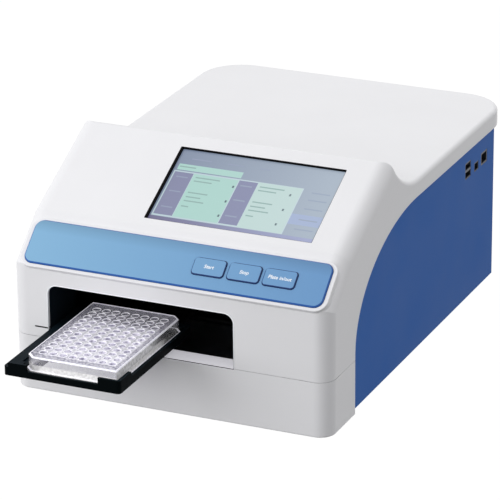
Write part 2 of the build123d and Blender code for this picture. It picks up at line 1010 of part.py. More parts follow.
def switch_frame():
    """Frame of the power switch, with the pin that its rocker turns on."""
    outside = rear_face + switch_flange
    frame = block(
        span(switch_x, switch_width - 2 * skin_gap),
        (rear_face - switch_depth, outside),
        span(inlet_z, switch_height - 2 * skin_gap),
    )
    frame += block(
        span(switch_x, switch_width + switch_flange),
        (rear_face, outside),
        span(inlet_z, switch_height + switch_flange),
    )
    well = span(switch_x, switch_width - 2 * switch_wall)
    frame -= block(
        well, (rear_face - switch_well, outside + over), span(inlet_z, switch_height - 2 * switch_wall)
    )
    return frame + rod_x(rocker_pin_radius, well, rocker_y, inlet_z)


def power_rocker():
    """Rocker of the power switch, at rest with its lower end pressed in."""
    end = switch_height / 2 - switch_wall - rocker_gap
    profile = Polyline(
        (-end, rocker_y - rocker_low_face),
        (-end, rocker_y + rocker_low_face),
        (0, rocker_y + rocker_middle_face),
        (end, rocker_y + rocker_high_face),
        (end, rocker_y),
        (0, rocker_y - rocker_back),
        (-end, rocker_y - rocker_low_face),
    )
    side = Plane(origin=(switch_x, 0, inlet_z), x_dir=(0, 0, 1), z_dir=(-1, 0, 0))
    reach = switch_width / 2 - switch_wall - rocker_gap
    rocker = extrude(side * make_face(profile), reach, both=True)
    rocker &= rod_x(end, span(switch_x, switch_width), rocker_y, inlet_z)
    bore = rocker_pin_radius + shaft_gap
    return rocker - rod_x(bore, span(switch_x, switch_width), rocker_y, inlet_z)


def fan_frame():
    """Square fan frame on the rear panel, with the rotor's pin on its motor hub."""
    inner = rear_face - sheet
    y = (inner - fan_depth, inner)
    frame = block(span(fan_x, fan_size), y, span(fan_z, fan_size))
    frame = fillet(frame.edges().filter_by(Axis.Y), fan_corner_radius)
    frame -= rod_y(fan_size / 2 - fan_wall, wider(y), fan_x, fan_z)
    for angle in (45, 135, 225, 315):
        arm = Pos(fan_x, inner - fan_arm_depth / 2, fan_z) * Rot(0, angle, 0)
        frame += arm * Pos(fan_size / 4, 0, 0) * Box(fan_size / 2, fan_arm_depth, fan_arm)
    frame += rod_y(fan_hub_radius - fan_hub_step, (inner - fan_arm_depth, inner), fan_x, fan_z)
    frame += rod_y(fan_pin_radius, (y[0] + fan_arm_depth, inner), fan_x, fan_z)
    for x in span(fan_x, fan_size - 2 * fan_screw_inset):
        for z in span(fan_z, fan_size - 2 * fan_screw_inset):
            frame -= rod_y(fan_screw_radius, wider(y), x, z)
    return frame


def fan_rotor():
    """Fan hub with pitched blades."""
    inner = rear_face - sheet
    y = (inner - fan_depth + fan_end_gap, inner - fan_arm_depth - fan_end_gap)
    rotor = rod_y(fan_hub_radius, y, fan_x, fan_z)
    root = fan_hub_radius - over
    tip = fan_size / 2 - fan_wall - fan_tip_gap
    for number in range(fan_blades):
        turn = Pos(fan_x, sum(y) / 2, fan_z) * Rot(0, number * 360 / fan_blades, 0)
        blade = Rot(fan_blade_pitch, 0, 0) * Box(tip - root, fan_blade_sheet, fan_blade_chord)
        rotor += turn * Pos((root + tip) / 2, 0, 0) * blade
    rotor &= rod_y(tip, y, fan_x, fan_z)
    return rotor - rod_y(fan_pin_radius + shaft_gap, wider(y), fan_x, fan_z)


def stage_frame(inner_face, side):
    """Upright frame at one end of the cross rods; it also carries the optics bridge."""
    x = sorted((inner_face, inner_face + side * frame_thickness))
    frame = block(x, (frame_front, frame_back), (base_top, frame_top))
    for y in (rod_front, rod_back):
        frame -= rod_x(rod_radius + shaft_gap, wider(x), y, rod_level)
    frame -= rod_x(screw_radius + shaft_gap, wider(x), screw_line, rod_level)
    window = block(
        wider(x),
        wider((frame_front, frame_back), -frame_window_edge),
        (frame_window_low, frame_top - frame_window_top),
    )
    return frame - (window - block(wider(x), span(read_y, arm_width + frame_window_edge), (0, frame_top)))


def outer_ends():
    """The outer faces of the two frames."""
    return (frame_left_face - frame_thickness, frame_right_face + frame_thickness)


def cross_rods():
    """Two ground rods that the stage slides on."""
    ends = wider(outer_ends(), -frame_end_gap)
    return [rod_x(rod_radius, ends, y, rod_level) for y in (rod_front, rod_back)]


def cross_screw():
    """Lead screw of the stage, with its shaft coupling."""
    left, right = outer_ends()
    coupling = (right + coupling_gap, right + coupling_gap + coupling_length)
    screw = rod_x(screw_radius, (left + frame_end_gap, coupling[0] + over), screw_line, rod_level)
    screw += rod_x(coupling_radius, coupling, screw_line, rod_level)
    bore = (coupling[1] - coupling_bore, coupling[1] + over)
    return screw - rod_x(shaft_radius + shaft_gap, bore, screw_line, rod_level)


def motor(face, shaft, y, z):
    """Square stepping motor behind a face towards +X, with its shaft along X."""
    body = block((face, face + small_motor_length), span(y, small_motor), span(z, small_motor))
    body = chamfer(body.edges().filter_by(Axis.X), motor_edge)
    return body + rod_x(shaft_radius, (shaft, face + over), y, z)


def cross_motor():
    """Stepping motor that turns the lead screw."""
    face = outer_ends()[1] + coupling_length + 2 * coupling_gap
    return motor(face, face - coupling_bore, screw_line, rod_level)


def cross_carriage():
    """Stage plate with bushings, the nut of the lead screw, and the seats of motor and idler."""
    x = (carriage_left, carriage_right)
    plate = block(x, (carriage_front, carriage_back), (carriage_bottom, carriage_top))
    window_x = (carriage_left + carriage_window_left, carriage_right - carriage_window_right)
    for window_y in carriage_windows:
        plate -= block(window_x, window_y, (0, carriage_top + over))
    low = (rod_level - bushing_half, carriage_bottom)
    for middle in wider(x, -bushing_length / 2):
        for y in (rod_front, rod_back):
            plate += block(span(middle, bushing_length), span(y, nut_width), low)
    plate += block(span(sum(x) / 2, bushing_length), span(screw_line, nut_width), low)
    for y in (rod_front, rod_back):
        plate -= rod_x(rod_radius + shaft_gap, wider(x), y, rod_level)
    plate -= rod_x(screw_radius + shaft_gap, wider(x), screw_line, rod_level)
    bracket_x = (bracket_left, bracket_left + bracket_sheet)
    motor_end = drive_line + small_motor / 2
    bracket = block(
        bracket_x, (carriage_back - drive_gap, motor_end), (carriage_bottom, belt_level + small_motor / 2)
    )
    bracket -= block(
        wider(bracket_x), (carriage_back, motor_end + over), (0, belt_level - small_motor / 2)
    )
    bracket -= rod_x(shaft_radius + over, wider(bracket_x), drive_line, belt_level)
    stub_x = (bracket_left - bracket_gap + pulley_side + stub_gap, bracket_left)
    stub = block(stub_x, span(idler_line, 2 * bushing_half), (carriage_bottom, belt_level + pulley_radius))
    stub += rod_x(shaft_radius, (belt_left - over, bracket_left), idler_line, belt_level)
    return plate + bracket + stub


def tray_rail():
    """Linear rail for the tray, narrower at its waist."""
    y = (carriage_front, carriage_back)
    rail = block(span(rail_middle, rail_width), y, (carriage_top, rail_top))
    groove = (rail_top - rail_groove_low, rail_top - rail_groove_high)
    for side in (-1, 1):
        edges = (rail_middle + side * rail_neck / 2, rail_middle + side * rail_width)
        rail -= block(sorted(edges), wider(y), groove)
    return rail


def tray_slider():
    """Bearing block that runs on the rail and carries the tray."""
    y = (slider_front, slider_front + slider_length)
    slider = block(span(rail_middle, 2 * slider_half), y, (carriage_top + slider_lift, tray_bottom))
    slot = span(rail_middle, rail_width + 2 * slider_gap)
    slider -= block(slot, wider(y), (0, rail_top + slider_gap))
    tongue = wider((rail_top - rail_groove_low, rail_top - rail_groove_high), -2 * skin_gap)
    for side in (-1, 1):
        inner = rail_middle + side * (rail_neck / 2 + 2 * skin_gap)
        slider += block(sorted((inner, rail_middle + side * (rail_width / 2 + over))), y, tongue)
    return slider


def belt_clamp():
    """Plate that ties the tray's slider to the upper run of the belt."""
    low = belt_level + pulley_radius + belt_thickness + belt_gap
    back = slider_front + slider_length
    x = (rail_middle + slider_half, belt_left + belt_width)
    return block(x, (back - clamp_length, back), (low, low + clamp_sheet))


def belt_loop(radius):
    """A solid with the outline of the belt, at some distance from its pulleys' centres."""
    x = (belt_left, belt_left + belt_width)
    loop = block(x, (idler_line, drive_line), span(belt_level, 2 * radius))
    return loop + rod_x(radius, x, idler_line, belt_level) + rod_x(radius, x, drive_line, belt_level)


def drive_belt():
    """Belt loop along the stage."""
    return belt_loop(pulley_radius + belt_thickness) - belt_loop(pulley_radius + belt_seat)


def pulley(y):
    """Flanged pulley on a shaft along X."""
    x = wider((belt_left, belt_left + belt_width), pulley_side)
    wheel = rod_x(pulley_radius, x, y, belt_level)
    for low in (x[0], x[1] - pulley_flange_width):
        wheel += rod_x(pulley_radius + pulley_flange, (low, low + pulley_flange_width), y, belt_level)
    return wheel - rod_x(shaft_radius + shaft_gap, wider(x), y, belt_level)


def tray_motor():
    """Stepping motor that drives the belt."""
    return motor(bracket_left + bracket_sheet, belt_left - over, drive_line, belt_level)


def plate_tray():
    """Black tray: a frame with a window under the wells and raised blocks at its front corners."""
    across = (tray_left - over, tray_right + over)
    x_plate = span(plate_middle[0], plate_width + 2 * plate_gap)
    y_plate = span(plate_middle[1], plate_length + 2 * plate_gap)
    centre = Pos((tray_left + tray_right) / 2, (tray_front + tray_rear) / 2, tray_bottom)
    outline = RectangleRounded(tray_right - tray_left, tray_rear - tray_front, tray_corner_radius)
    tray = extrude(centre * outline, tray_block_height)
    high = tray_bottom + tray_block_height + over
    rim = tray_bottom + tray_rim
    to_rear = tray_rear + over
    from_front = tray_front - over
    tray -= block(x_plate, y_plate, (plate_bottom, high))
    tray -= block(across, (tray_front + tray_block_length, to_rear), (rim, high))
    tray -= block((across[0], tray_left + tray_block_edge), (from_front, to_rear), (rim, high))
    left_bay = (tray_left, x_plate[0] + over)
    tray -= block(left_bay, (tray_front + tray_block_depth, to_rear), (rim, high))
    middle = (x_plate[0] + tray_block_left, x_plate[1] - tray_block_right)
    front = (from_front, tray_front + tray_block_depth)
    tray -= block(middle, front, (tray_bottom + tray_front_rim, high))
    spring_bay = (tray_left + spring_bay_edge, x_plate[0] - spring_bay_wall)
    bay_y = (tray_front + spring_bay_front, tray_rear - spring_bay_rear)
    tray -= block(spring_bay, bay_y, (rim - spring_bay_depth, high))
    window_y = wider(y_plate, -tray_ledge)
    return tray - block(wider(x_plate, -tray_ledge), window_y, (tray_bottom - over, high))


def plate_spring():
    """Leaf spring beside the plate that presses it into the tray's corner, with its two rivets."""
    right = plate_middle[0] - plate_width / 2 - plate_gap - spring_lip
    low = tray_bottom + tray_rim - spring_bay_depth
    top = low + spring_sheet
    spring = block((right - spring_width, right), span(plate_middle[1], spring_length), (low, top))
    for y in span(plate_middle[1], rivet_spread):
        spring += rod_z(rivet_radius, (top, top + rivet_height), right - spring_width / 2, y)
    return spring


def cut_corners(face):
    """A plate outline with two opposite corners cut."""
    chosen = [vertex for vertex in face.vertices() if vertex.X * vertex.Y > 0]
    return chamfer(chosen, plate_notch)


def microplate():
    """Clear plate with a skirt, two cut corners and its grid of wells."""
    centre = Pos(*plate_middle, plate_bottom)
    on_floor = (Align.CENTER, Align.CENTER, Align.MIN)
    foot = Rectangle(plate_width, plate_length)
    deck = Rectangle(plate_width - 2 * plate_flange_step, plate_length - 2 * plate_flange_step)
    plate = extrude(centre * cut_corners(foot), plate_flange_height)
    plate += extrude(centre * cut_corners(deck), plate_height)
    skirt = 2 * (plate_flange_step + plate_wall)
    core_x = (well_rows - 1) * well_pitch + 2 * (well_radius + plate_wall)
    core_y = (well_columns - 1) * well_pitch + 2 * (well_radius + plate_wall)
    hollow = Box(plate_width - skirt, plate_length - skirt, plate_height - plate_wall, align=on_floor)
    core = Box(core_x, core_y, plate_height, align=on_floor)
    plate -= centre * (hollow - core)
    plate -= centre * Box(core_x, core_y, plate_web_bottom, align=on_floor)
    well = Pos(0, 0, plate_height - well_depth) * Cylinder(well_radius, plate_height, align=on_floor)
    wells = GridLocations(well_pitch, well_pitch, well_rows, well_columns)
    return plate - [centre * place * well for place in wells]


def optics_bridge():
    """Plate over the tray's path that carries the light source."""
    z = (frame_top, bridge_top)
    bridge = block(outer_ends(), (bridge_front, bridge_back), z)
    bridge -= rod_z(read_hole_radius, wider(z), read_x, read_y)
    for window_x in bridge_windows:
        bridge -= block(window_x, bridge_window_y, wider(z))
    return bridge


def read_head():
    """Light tube between the filter wheel and the well that is read."""
    low = frame_top - read_tube_drop
    top = bridge_top + read_tube_height
    tube = rod_z(read_hole_radius - filter_fit, (low, bridge_top + over), read_x, read_y)
    tube += rod_z(read_tube_radius, (bridge_top, top), read_x, read_y)
    return tube - rod_z(read_bore_radius, wider((low, top)), read_x, read_y)


def crowned_lens(radius, low, height, crown):
    """A lens with a flat underside and a crown on its top."""
    lens = rod_z(radius, (low, low + height), read_x, read_y)
    top = Pos(read_x, read_y, low + height + crown / 2) * Cone(radius, radius / 2, crown)
    return lens + top


def read_lens():
    """Small lens in the foot of the light tube."""
    low = frame_top - read_tube_drop + read_lens_height
    return crowned_lens(read_bore_radius - lens_fit, low, read_lens_height, read_lens_crown)


def wheel_motor():
    """Flat motor that turns the filter wheel."""
    body = block(
        span(wheel_x + wheel_motor_offset, wheel_motor_size),
        span(read_y, wheel_motor_size),
        (bridge_top, bridge_top + read_tube_height),
    )
    body = fillet(body.edges().filter_by(Axis.Z), wheel_motor_radius)
    return body + rod_z(wheel_shaft_radius, (bridge_top, wheel_top + wheel_hub_proud), wheel_x, read_y)


def filter_places():
    """Middles of the filters round the wheel; the first is over the read point."""
    angles = [pi + number * 2 * pi / filter_count for number in range(filter_count)]
    reach = wheel_pitch_radius
    return [(wheel_x + reach * cos(angle), read_y + reach * sin(angle)) for angle in angles]


def filter_wheel():
    """Wheel with a seat for each filter."""
    z = (wheel_low, wheel_top)
    wheel = rod_z(wheel_radius, z, wheel_x, read_y)
    wheel += rod_z(wheel_hub_radius, wider(z, wheel_hub_proud), wheel_x, read_y)
    for place in filter_places():
        wheel -= rod_z(filter_radius + filter_fit, (wheel_low + filter_seat, wheel_top + over), *place)
        wheel -= rod_z(filter_radius - filter_lip, wider(z), *place)
    bore = wheel_shaft_radius + shaft_gap
    return wheel - rod_z(bore, wider(z, wheel_hub_proud + over), wheel_x, read_y)


def filter_discs():
    """Glass filters in the wheel."""
    z = (wheel_low + filter_seat, wheel_top)
    return [rod_z(filter_radius, z, *place) for place in filter_places()]


def lamp_house():
    """Finned lamp house on a foot beside the wheel, open downwards over the read point."""
    left = read_x - lamp_width / 2 - lamp_overhang
    x = (left, read_x + lamp_width / 2 - lamp_inset)
    y = span(read_y, lamp_width)
    top = lamp_low + lamp_height
    house = block(x, y, (lamp_low, top))
    for number in range(int(lamp_width / (2 * lamp_fin)) - 1):
        groove = y[0] + lamp_fin + number * 2 * lamp_fin
        house -= block(wider(x), (groove, groove + lamp_fin), (top - lamp_fin_depth, top + over))
    house -= rod_z(lamp_bore_radius, (lamp_low - over, lamp_roof_level), read_x, read_y)
    return house + block((left, left + lamp_foot), y, (bridge_top, lamp_low))


def halogen_lamp():
    """Small halogen lamp in the lamp house."""
    base = lamp_roof_level - bulb_base_height
    tip = base - bulb_length
    lamp = rod_z(bulb_base_radius, (base, lamp_roof_level), read_x, read_y)
    lamp += rod_z(bulb_radius, (tip, base), read_x, read_y)
    return lamp + Pos(read_x, read_y, tip) * Sphere(bulb_radius)


def condenser_lens():
    """Lens at the mouth of the lamp house."""
    radius = lamp_bore_radius - filter_fit
    return crowned_lens(radius, lamp_low + condenser_seat, condenser_height, condenser_crown)


def detector_arm():
    """Arm from the right frame that reaches under the tray to the read point."""
    top = arm_bottom + arm_height
    arm = block((read_x - arm_tip, frame_right_face), span(read_y, arm_width), (arm_bottom, top))
    return arm - rod_z(diode_radius + filter_fit, (arm_bottom + diode_seat, top + over), read_x, read_y)


def photodiode():
    """Round detector in the end of the arm."""
    z = (arm_bottom + diode_seat, arm_bottom + arm_height - diode_recess)
    return rod_z(diode_radius, z, read_x, read_y)


def case_screws():
    """Screws under the base that hold the frames down."""
    screws = []
    for x in wider(outer_ends(), -frame_thickness / 2):
        for y in wider((frame_front, frame_back), -screw_inset):
            screws.append(rod_z(screw_head_radius, (base_level - screw_head_height, base_level), x, y))
    return screws


def main():
    os.makedirs("parts", exist_ok=True)
    save("upper_shell", upper_shell())
    save("lower_shell", lower_shell())
    save("left_side_panel", side_panel(-1))
    save("right_side_panel", right_panel())
    save("rear_panel", rear_panel())
    save("base_plate", base_plate())
    save("rubber_feet", *rubber_feet())
    save("sill_plate", sill_plate())
    save("chamber_hood", chamber_hood())
    save("touch_glass", touch_glass())
    save("display_module", display_module())
    save("strip_pad", strip_pad())
    save("key_board", key_board())
    for number, name in enumerate(key_names):
        save(name, key_cap(number))
    save("main_board", main_board())
    save("board_standoffs", *board_standoffs())
    save("usb_stack", usb_stack())
    save("device_port", device_port())
    save("network_jack", network_jack())
    save("power_supply", power_supply())
    save("power_inlet", power_inlet())
    save("switch_frame", switch_frame())
    save("power_rocker", power_rocker())
    save("fan_frame", fan_frame())
    save("fan_rotor", fan_rotor())
    save("left_frame", stage_frame(frame_left_face, -1))
    save("right_frame", stage_frame(frame_right_face, 1))
    save("cross_rods", *cross_rods())
    save("cross_screw", cross_screw())
    save("cross_motor", cross_motor())
    save("cross_carriage", cross_carriage())
    save("tray_rail", tray_rail())
    save("tray_slider", tray_slider())
    save("belt_clamp", belt_clamp())
    save("drive_belt", drive_belt())
    save("drive_pulley", pulley(drive_line))
    save("idler_pulley", pulley(idler_line))
    save("tray_motor", tray_motor())
    save("plate_tray", plate_tray())
    save("plate_spring", plate_spring())
    save("microplate", microplate())
    save("optics_bridge", optics_bridge())
    save("read_head", read_head())
    save("read_lens", read_lens())
    save("wheel_motor", wheel_motor())
    save("filter_wheel", filter_wheel())
    save("filter_discs", *filter_discs())
    save("lamp_house", lamp_house())
    save("halogen_lamp", halogen_lamp())
    save("condenser_lens", condenser_lens())
    save("detector_arm", detector_arm())
    save("photodiode", photodiode())
    save("case_screws", *case_screws())


main()
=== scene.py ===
from math import cos, pi, radians, sin

import bmesh
import bpy
from mathutils import Matrix, Vector


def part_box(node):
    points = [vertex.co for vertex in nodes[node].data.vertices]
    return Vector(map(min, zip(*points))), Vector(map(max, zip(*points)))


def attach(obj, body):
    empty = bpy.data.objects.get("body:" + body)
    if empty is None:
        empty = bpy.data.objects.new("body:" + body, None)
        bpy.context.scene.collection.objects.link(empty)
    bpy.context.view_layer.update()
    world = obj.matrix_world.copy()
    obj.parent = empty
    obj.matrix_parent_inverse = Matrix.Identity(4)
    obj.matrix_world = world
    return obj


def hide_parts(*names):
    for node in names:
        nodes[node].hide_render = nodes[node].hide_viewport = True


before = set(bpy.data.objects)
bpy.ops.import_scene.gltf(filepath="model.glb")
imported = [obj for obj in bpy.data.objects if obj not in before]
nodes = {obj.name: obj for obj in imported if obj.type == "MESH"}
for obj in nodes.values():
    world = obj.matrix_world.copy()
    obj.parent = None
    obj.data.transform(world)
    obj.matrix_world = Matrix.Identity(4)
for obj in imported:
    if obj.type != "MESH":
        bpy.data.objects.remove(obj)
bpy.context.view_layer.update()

# Everything is in metres, in the part's own frame: X to the right, Y to the back, Z up from the floor.
mm = 0.001


def box_of(node):
    """The lowest and highest corners of a node at rest."""
    return tuple(Vector(corner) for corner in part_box(node))


def middle_of(node):
    low, high = box_of(node)
    return (low + high) / 2


# Where the photograph was taken from; the aim lies right of the middle of the strip
view_azimuth = radians(24.03)
view_elevation = radians(21.49)
view_roll = radians(0.503)
view_distance = 2.788
aim_right_of_strip = 0.0734
view_aim = Vector((middle_of("strip_pad").x + aim_right_of_strip, -0.1685, 0.1627))
view_lens = 247.1

# The strip and the screen panel slope up from the front: a point on each, and its angle
strip_slope = radians(41.0)
strip_up = Vector((0, cos(strip_slope), sin(strip_slope)))
strip_out = Vector((0, -sin(strip_slope), cos(strip_slope)))
strip_origin = Vector((0, -168.5 * mm, 119.2 * mm))
strip_x = (box_of("strip_pad")[0].x, box_of("strip_pad")[1].x)
strip_length = 42 * mm
strip_shade_length = 12 * mm
panel_slope = radians(26.4)
panel_origin = Vector((0, -128.7 * mm, 153.8 * mm))

# Screen aperture on the panel, and how far the touch panel lies under it
glass_margin = 4 * mm
screen_x = (box_of("touch_glass")[0].x + glass_margin, box_of("touch_glass")[1].x - glass_margin)
screen_s = (7.5 * mm, 93 * mm)
screen_recess = 1.9 * mm

# Dark frame of the screen, partly a black gasket and partly painted shade of the aperture's walls: its wide
# side at the left, and the thin ones at the right and the bottom
gasket_and_shade_wide = 2.2 * mm
gasket_narrow = 0.35 * mm

# Loading opening in the front, with the sill in it
front_face = -168.5 * mm
sill_gap = 0.3 * mm
opening_x = (box_of("sill_plate")[0].x - sill_gap, box_of("sill_plate")[1].x + sill_gap)
opening_z = (54.8 * mm, 102.9 * mm)
opening_radius = 8.5 * mm
corner_steps = 8

# Painted shade in the gaps of the front: dark strips in the parting slot left of the opening, and in the gap
# under the sill and at its end.
# Rises are counted from the opening's lower edge.
slot_length = 12.8 * mm
slot_rise = (8.3 * mm, 9.5 * mm)
sill_gap_rise = (-0.75 * mm, -0.2 * mm)
sill_end_rise = 0.4 * mm
sill_end_width = 0.5 * mm

# Keys on the strip: their middles up the slope, and the height of their tops over its plane
key_s = 21.2 * mm
key_top = 4.06 * mm
key_words = (("start_key", "Start"), ("stop_key", "Stop"), ("plate_key", "Plate in/out"))
word_size = 4.5 * mm
word_weight = 0.1 * mm
word_thickness = 0.02 * mm
word_slant = 0.15

# Microplate: its box, wells, skirt and deck
plate_low, plate_high = box_of("microplate")
plate_middle = middle_of("microplate")
plate_notch = 6 * mm
flange_height = 2.4 * mm
flange_step = 1.3 * mm
skirt_wall = 1.2 * mm
well_pitch = 9 * mm
well_rows = 8
well_columns = 12
well_radius = 3.43 * mm
well_wall = 0.5 * mm
well_floor = 7.0 * mm
well_segments = 20
deck_drop = 1.1 * mm
deck_thickness = 0.8 * mm
rim_drop = 0.15 * mm
rim_bevel = 0.2 * mm
edge_bevel = 0.3 * mm

# Screw in the tray's left front corner, from the tray's lowest corner
tray_low = box_of("plate_tray")[0]
screw_place = (tray_low.x + 6.2 * mm, tray_low.y + 3.6 * mm)
screw_seat = tray_low.z + 7.5 * mm

# Floor and room: the floor's own colour, its white glow and the share of that, and the room's light
floor_reach = 12.0
floor_color = (0.14, 0.14, 0.142)
floor_glow = 1.06
floor_glow_share = 0.96
room_strength = 0.62

# Lamps: name, place, aim, width and height, and power in watts
lamps = (
    ("front", (-1.3, -1.5, 0.6), (0, -0.1, 0.1), (1.4, 1.0), 22.2),
    ("back", (-0.1, 1.7, 1.7), (0, 0.1, 0.15), (1.8, 1.2), 8.5),
    ("top", (-0.2, 0.0, 2.0), (0, 0.1, 0.1), (2.2, 1.6), 4.8),
    ("right", (1.9, -0.7, 1.0), (0, 0, 0.1), (1.4, 1.2), 2.7),
)


def on_slope(origin, slope, x, s, n):
    """A point over a sloping plane: x across, s up the slope, n out of it."""
    return origin + Vector((x, s * cos(slope) - n * sin(slope), s * sin(slope) + n * cos(slope)))


# Materials


class Look:
    """A node material with a principled shader, built one node at a time."""

    def __init__(self, name, color, roughness, **sockets):
        self.material = bpy.data.materials.new(name)
        self.material.use_nodes = True
        self.tree = self.material.node_tree
        self.shader = self.tree.nodes["Principled BSDF"]
        self.shader.inputs["Roughness"].default_value = roughness
        self.shader.inputs["Base Color"].default_value = (*color, 1)
        for socket, value in sockets.items():
            self.shader.inputs[socket.replace("_", " ")].default_value = value
        self.place = self.add("ShaderNodeTexCoord").outputs["Object"]

    def add(self, kind, **settings):
        """A node with its settings and input values."""
        node = self.tree.nodes.new(kind)
        for key, value in settings.items():
            if key in node.inputs:
                node.inputs[key].default_value = value
            else:
                setattr(node, key, value)
        return node

    def link(self, output, target):
        self.tree.links.new(output, target)

    def noise(self, scale, detail=3.0, stretch=None):
        """A noise value over the surface, optionally stretched along an axis."""
        node = self.add("ShaderNodeTexNoise", Scale=scale, Detail=detail)
        source = self.place
        if stretch:
            mapping = self.add("ShaderNodeMapping", Scale=stretch)
            self.link(source, mapping.inputs["Vector"])
            source = mapping.outputs["Vector"]
        self.link(source, node.inputs["Vector"])
        return node.outputs["Fac"]

    def ranged(self, value, source=(0, 1), target=(0, 1), **settings):
        """A value taken from one range to another."""
        node = self.add("ShaderNodeMapRange", **settings)
        for side, (low, high) in (("From", source), ("To", target)):
            node.inputs[side + " Min"].default_value = low
            node.inputs[side + " Max"].default_value = high
        self.link(value, node.inputs["Value"])
        return node.outputs["Result"]

    def axis(self, name, vector=None):
        """One axis of a vector, or of the place on the piece."""
        node = self.add("ShaderNodeSeparateXYZ")
        self.link(self.place if vector is None else vector, node.inputs["Vector"])
        return node.outputs[name]

    def along(self, vector, direction):
        """How far a vector reaches along a direction."""
        node = self.add("ShaderNodeVectorMath", operation="DOT_PRODUCT")
        node.inputs[1].default_value = direction
        self.link(vector, node.inputs[0])
        return node.outputs["Value"]

    def vary_color(self, value, dark, light):
        """The base colour runs from dark to light with a value."""
        mix = self.add("ShaderNodeMix", data_type="RGBA")
        mix.inputs["A"].default_value = (*dark, 1)
        mix.inputs["B"].default_value = (*light, 1)
        self.link(value, mix.inputs["Factor"])
        self.link(mix.outputs["Result"], self.shader.inputs["Base Color"])
        return mix.outputs["Result"]

    def vary_roughness(self, value, low, high):
        self.link(self.ranged(value, target=(low, high)), self.shader.inputs["Roughness"])

    def bump(self, value, height, strength=1.0):
        node = self.add("ShaderNodeBump", Strength=strength, Distance=height)
        self.link(value, node.inputs["Height"])
        self.link(node.outputs["Normal"], self.shader.inputs["Normal"])


def srgb(red, green, blue):
    """A colour as a screen shows it, made linear."""
    def linear(part):
        part /= 255
        return part / 12.92 if part <= 0.04045 else ((part + 0.055) / 1.055) ** 2.4
    return tuple(linear(part) for part in (red, green, blue))


def moulded(name, color, roughness, grain, height, **sockets):
    """Moulded or painted surface: fine grain, slow changes of gloss and a hint of uneven colour."""
    look = Look(name, color, roughness, **sockets)
    slow = look.noise(18, 2)
    fine = look.noise(grain, 2)
    look.vary_color(slow, tuple(part * 0.97 for part in color), tuple(min(1, part * 1.02) for part in color))
    look.vary_roughness(slow, roughness * 0.88, roughness * 1.12)
    look.bump(fine, height)
    return look.material


def brushed(name, color, roughness, stretch, metallic=1.0, **sockets):
    """Metal with fine lines along one axis."""
    look = Look(name, color, roughness, Metallic=metallic, **sockets)
    lines = look.noise(600, 3, stretch)
    look.vary_color(lines, tuple(part * 0.8 for part in color), color)
    look.vary_roughness(lines, roughness * 0.75, roughness * 1.3)
    look.bump(lines, 0.00003)
    return look.material


def lit(name, left_color, right_color, strength):
    """Part of the display's picture: its own light behind a glossy front, changing across the screen."""
    look = Look(name, left_color, 0.25)
    color = look.vary_color(look.ranged(look.axis("X"), screen_x), left_color, right_color)
    look.link(color, look.shader.inputs["Emission Color"])
    shade = look.add("ShaderNodeVectorMath", operation="SCALE", Scale=0.35)
    look.link(color, shade.inputs[0])
    look.link(shade.outputs["Vector"], look.shader.inputs["Base Color"])
    look.shader.inputs["Emission Strength"].default_value = strength
    look.vary_roughness(look.noise(900, 1), 0.2, 0.3)
    return look.material


white_shell = moulded("white_shell", srgb(233, 233, 236), 0.38, 1500, 0.00002, Coat_Weight=0.12)
blue_paint = moulded("blue_paint", srgb(12, 92, 176), 0.5, 900, 0.00003, Specular_IOR_Level=0.12)
dark_anodised = moulded("dark_anodised", srgb(10, 11, 12), 0.5, 1300, 0.00002, Specular_IOR_Level=0.1)
black_steel = brushed("black_steel", srgb(40, 41, 43), 0.45, (0.05, 1, 1))
hood_paint = moulded("hood_paint", srgb(12, 22, 30), 0.6, 1300, 0.00003, Specular_IOR_Level=0.1)
black_plastic = moulded("black_plastic", srgb(22, 22, 23), 0.45, 1600, 0.00002)
rubber = moulded("rubber", srgb(20, 20, 20), 0.75, 700, 0.00005)
# Near black: the screen's frame, partly a real gasket and partly painted shade, and the painted shade in the
# front's gaps.
gasket_and_painted_shade = moulded("gasket_and_painted_shade", srgb(6, 6, 8), 0.6, 1600, 0.00002, Specular_IOR_Level=0.04)
board_green = moulded("board_green", srgb(14, 88, 48), 0.42, 500, 0.00004)
motor_black = moulded("motor_black", srgb(30, 30, 32), 0.4, 1100, 0.00003)
belt_black = moulded("belt_black", srgb(16, 16, 17), 0.7, 900, 0.00004)
# White rims with a faint bluish glow: the glow is a painted highlight on the bead round the strip and on the
# lip of the opening.
white_rim_painted_highlight = moulded(
    "white_rim_painted_highlight", srgb(246, 249, 252), 0.3, 1500, 0.00001,
    Emission_Color=(0.9, 0.95, 1, 1), Emission_Strength=0.12,
)
print_white = moulded("print_white", srgb(240, 245, 250), 0.5, 2000, 0.00001)
zinc = brushed("zinc", srgb(186, 188, 190), 0.42, (0.3, 1, 1))
aluminium = brushed("aluminium", srgb(196, 197, 200), 0.36, (1, 0.1, 1))
# Sill: brushed lines, and a glow that is painted light, brightening a sill that lies in the opening's shade.
sill_metal_painted_light = brushed(
    "sill_metal_painted_light", srgb(232, 231, 236), 0.5, (0.02, 1, 1), metallic=0.2,
    Emission_Color=(*srgb(226, 225, 232), 1), Emission_Strength=0.44,
)
ground_steel = brushed("ground_steel", srgb(190, 191, 194), 0.24, (0.05, 1, 1))
port_steel = brushed("port_steel", srgb(84, 86, 92), 0.42, (1, 0.2, 1))
brass = brushed("brass", srgb(196, 160, 84), 0.32, (1, 0.2, 1))


